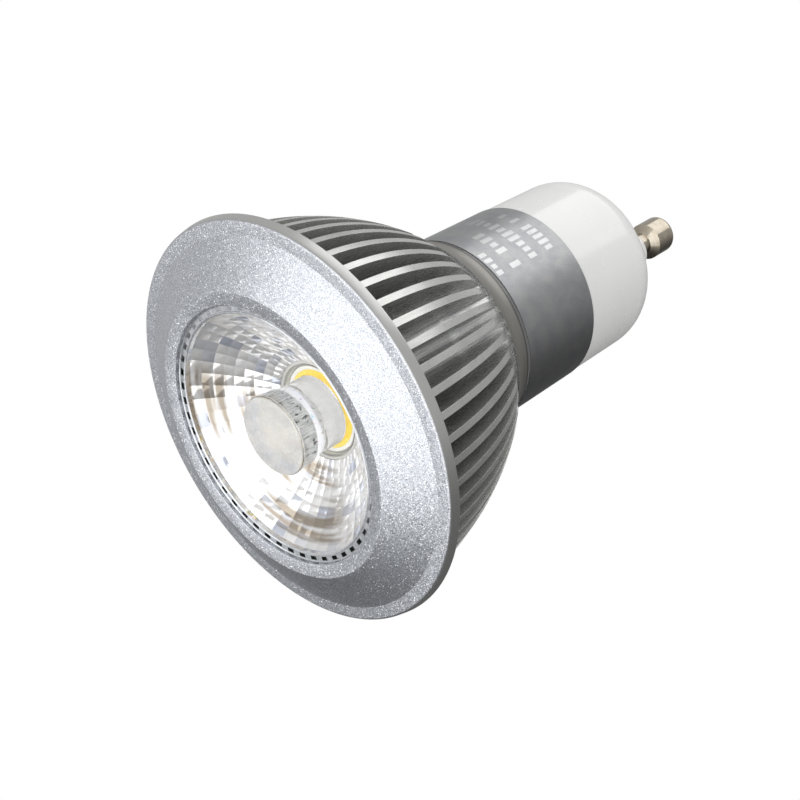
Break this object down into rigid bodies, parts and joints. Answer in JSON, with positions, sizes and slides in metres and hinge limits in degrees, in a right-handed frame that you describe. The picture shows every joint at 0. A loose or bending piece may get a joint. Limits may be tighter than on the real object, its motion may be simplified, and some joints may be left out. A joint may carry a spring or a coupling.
{
  "type": "gu10 spotlight bulb",
  "caption": "Reflector spotlight bulb with a raised silver bezel, faceted bowl, clear centre post, finned heat sink, white base and twist-lock contact pins.",
  "frame": {"origin": "on the bulb's axis, in the plane of the raised ring on the lit face, which the bulb stands on", "axes": "+Z along the axis from the lit face to the contact pins; the two pins lie along X"},
  "size_m": [0.05, 0.05, 0.0701],
  "materials": {
    "bezel_paint": "sparkling silver paint",
    "fin_aluminium": "satin turned aluminium",
    "mirror_bowl": "bright metallised facets",
    "clear_lens": "clear moulded post",
    "seal_rubber": "soft silicone",
    "holder_white": "white heat-proof plastic",
    "cob_ceramic": "white ceramic",
    "phosphor_yellow": "soft yellow phosphor gel",
    "pad_grey": "thermal pad",
    "steel_bright": "zinc-plated",
    "base_white": "white, glossy",
    "band_silver": "silver-grey foil band",
    "pin_nickel": "nickel-plated",
    "wire_copper": "insulated wire",
    "board_green": "glass-fibre board",
    "ferrite_black": "ferrite",
    "winding_yellow": "taped winding",
    "can_blue": "sleeved can",
    "film_brown": "dipped",
    "chip_black": "moulded"
  },
  "bodies": {
    "root": {"front_bezel": "bezel_paint", "facet_reflector": "mirror_bowl", "centre_lens": "clear_lens", "lens_seal": "seal_rubber", "led_holder": "holder_white", "cob_substrate": "cob_ceramic", "cob_phosphor": "phosphor_yellow", "cob_dam": "holder_white", "thermal_pad": "pad_grey", "holder_screws": "steel_bright", "heat_sink": "fin_aluminium", "led_lead_left": "wire_copper", "led_lead_right": "wire_copper", "base_housing": "base_white", "label_band": "band_silver", "contact_pin_left": "pin_nickel", "contact_pin_right": "pin_nickel", "pin_lead_left": "wire_copper", "pin_lead_right": "wire_copper", "driver_board": "board_green", "transformer_core": "ferrite_black", "transformer_winding": "winding_yellow", "electrolytic_capacitor": "can_blue", "film_capacitor": "film_brown", "bridge_rectifier": "chip_black", "driver_chip": "chip_black", "choke_coil": "ferrite_black", "fuse_resistor": "film_brown"}
  },
  "joints": []
}
